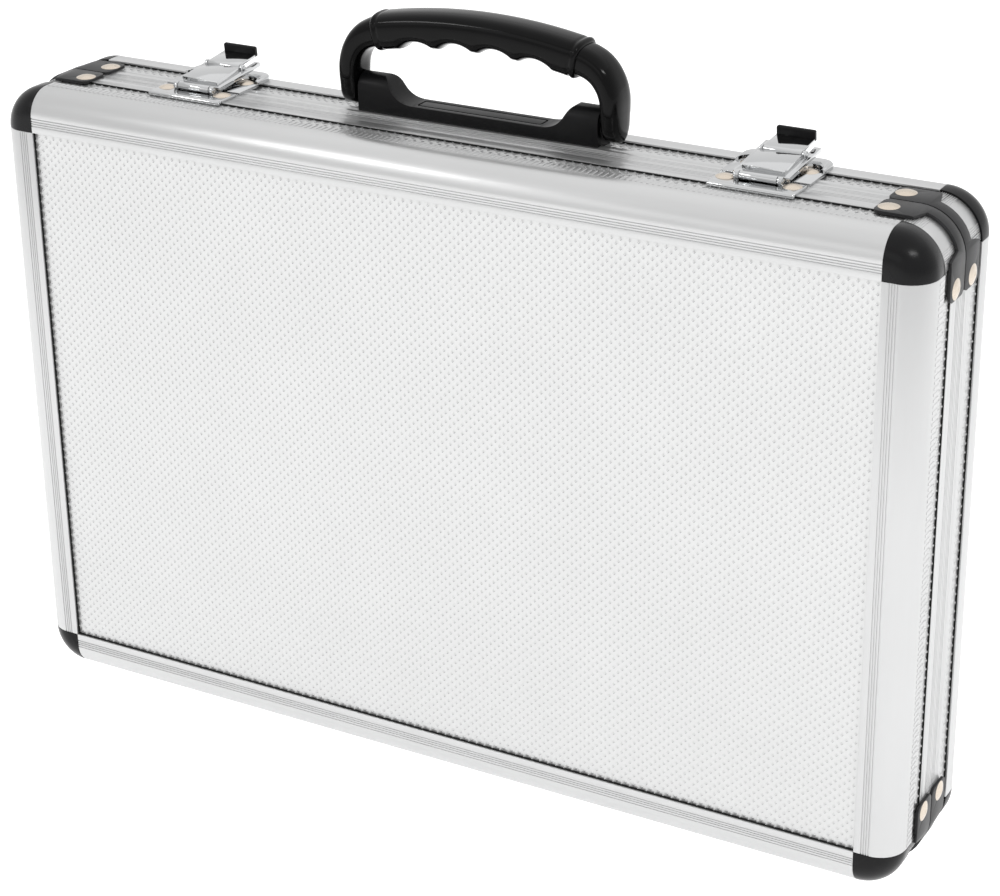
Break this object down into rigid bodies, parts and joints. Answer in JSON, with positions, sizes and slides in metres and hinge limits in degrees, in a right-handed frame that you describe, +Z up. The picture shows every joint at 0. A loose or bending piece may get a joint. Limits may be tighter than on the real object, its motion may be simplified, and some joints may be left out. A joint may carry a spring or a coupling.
{
  "type": "hard_case",
  "caption": "Aluminium-framed hard case with a hinged lid, two draw latches on top and a folding black carrying handle, standing on small rubber feet.",
  "frame": {"origin": "centre of the footprint, on the floor under the rubber feet", "axes": "X runs along the width of the case, the front shell (the lid) faces -Y, +Z is up with the handle on top"},
  "size_m": [0.4404, 0.076, 0.3402],
  "materials": {
    "embossed_aluminium": "pressed with small staggered diamonds, satin",
    "edge_aluminium": "satin brushed along the extrusion",
    "black_gloss": "glossy moulded black",
    "black_matte": "satin black, softly worn",
    "latch_chrome": "polished nickel-chrome plate",
    "rivet_nickel": "domed, warm nickel plate",
    "hinge_steel": "zinc plated",
    "lining_foam": "dark grey closed-cell foam",
    "rubber_feet": "matte black rubber"
  },
  "bodies": {
    "rear_shell": {"rear_panel": "embossed_aluminium", "rear_edge_top": "edge_aluminium", "rear_lip_top": "edge_aluminium", "rear_edge_bottom": "edge_aluminium", "rear_lip_bottom": "edge_aluminium", "rear_edge_left": "edge_aluminium", "rear_lip_left": "edge_aluminium", "rear_edge_right": "edge_aluminium", "rear_lip_right": "edge_aluminium", "rear_cap_top_left": "black_gloss", "rear_cap_top_right": "black_gloss", "rear_cap_bottom_left": "black_gloss", "rear_cap_bottom_right": "black_gloss", "rear_wall_boards": "embossed_aluminium", "rear_corner_arches": "edge_aluminium", "rear_corner_brackets": "black_matte", "rear_rivets": "rivet_nickel", "rear_lining": "lining_foam", "rear_feet": "rubber_feet", "hinge_base_leaves": "hinge_steel", "hinge_pins": "hinge_steel", "handle_base": "black_matte", "handle_pivot_pins": "hinge_steel", "latch_left_catch_plate": "latch_chrome", "latch_right_catch_plate": "latch_chrome"},
    "lid": {"front_panel": "embossed_aluminium", "front_edge_top": "edge_aluminium", "front_lip_top": "edge_aluminium", "front_edge_bottom": "edge_aluminium", "front_lip_bottom": "edge_aluminium", "front_edge_left": "edge_aluminium", "front_lip_left": "edge_aluminium", "front_edge_right": "edge_aluminium", "front_lip_right": "edge_aluminium", "front_cap_top_left": "black_gloss", "front_cap_top_right": "black_gloss", "front_cap_bottom_left": "black_gloss", "front_cap_bottom_right": "black_gloss", "front_wall_boards": "embossed_aluminium", "front_corner_arches": "edge_aluminium", "front_corner_brackets": "black_matte", "front_rivets": "rivet_nickel", "front_lining": "lining_foam", "front_feet": "rubber_feet", "hinge_lid_leaves": "hinge_steel", "latch_left_base_plate": "latch_chrome", "latch_left_hinge_pin": "latch_chrome", "latch_right_base_plate": "latch_chrome", "latch_right_hinge_pin": "latch_chrome"},
    "handle": {"handle_bail": "black_gloss", "handle_grip": "black_gloss"},
    "left_hasp": {"latch_left_hasp": "latch_chrome", "latch_left_flap_pin": "latch_chrome"},
    "left_flap": {"latch_left_flap": "latch_chrome", "latch_left_tab": "black_matte"},
    "right_hasp": {"latch_right_hasp": "latch_chrome", "latch_right_flap_pin": "latch_chrome"},
    "right_flap": {"latch_right_flap": "latch_chrome", "latch_right_tab": "black_matte"}
  },
  "joints": [
    {"name": "lid_hinge", "type": "hinge", "parent": "rear_shell", "child": "lid", "pos_m": [0, 0, 0.003], "axis": [1, 0, 0], "range_deg": [0, 95]},
    {"name": "handle_pivot", "type": "hinge", "parent": "rear_shell", "child": "handle", "pos_m": [0, 0.01325, 0.30225], "axis": [1, 0, 0], "range_deg": [-84, 84]},
    {"name": "left_hasp_hinge", "type": "hinge", "parent": "lid", "child": "left_hasp", "pos_m": [-0.1345, -0.0045, 0.2952], "axis": [1, 0, 0], "range_deg": [0, 100]},
    {"name": "left_flap_pivot", "type": "hinge", "parent": "left_hasp", "child": "left_flap", "pos_m": [-0.1345, 0.01883, 0.29902], "axis": [1, 0, 0], "range_deg": [0, 55]},
    {"name": "right_hasp_hinge", "type": "hinge", "parent": "lid", "child": "right_hasp", "pos_m": [0.1345, -0.0045, 0.2952], "axis": [1, 0, 0], "range_deg": [0, 100]},
    {"name": "right_flap_pivot", "type": "hinge", "parent": "right_hasp", "child": "right_flap", "pos_m": [0.1345, 0.01883, 0.29902], "axis": [1, 0, 0], "range_deg": [0, 55]}
  ]
}
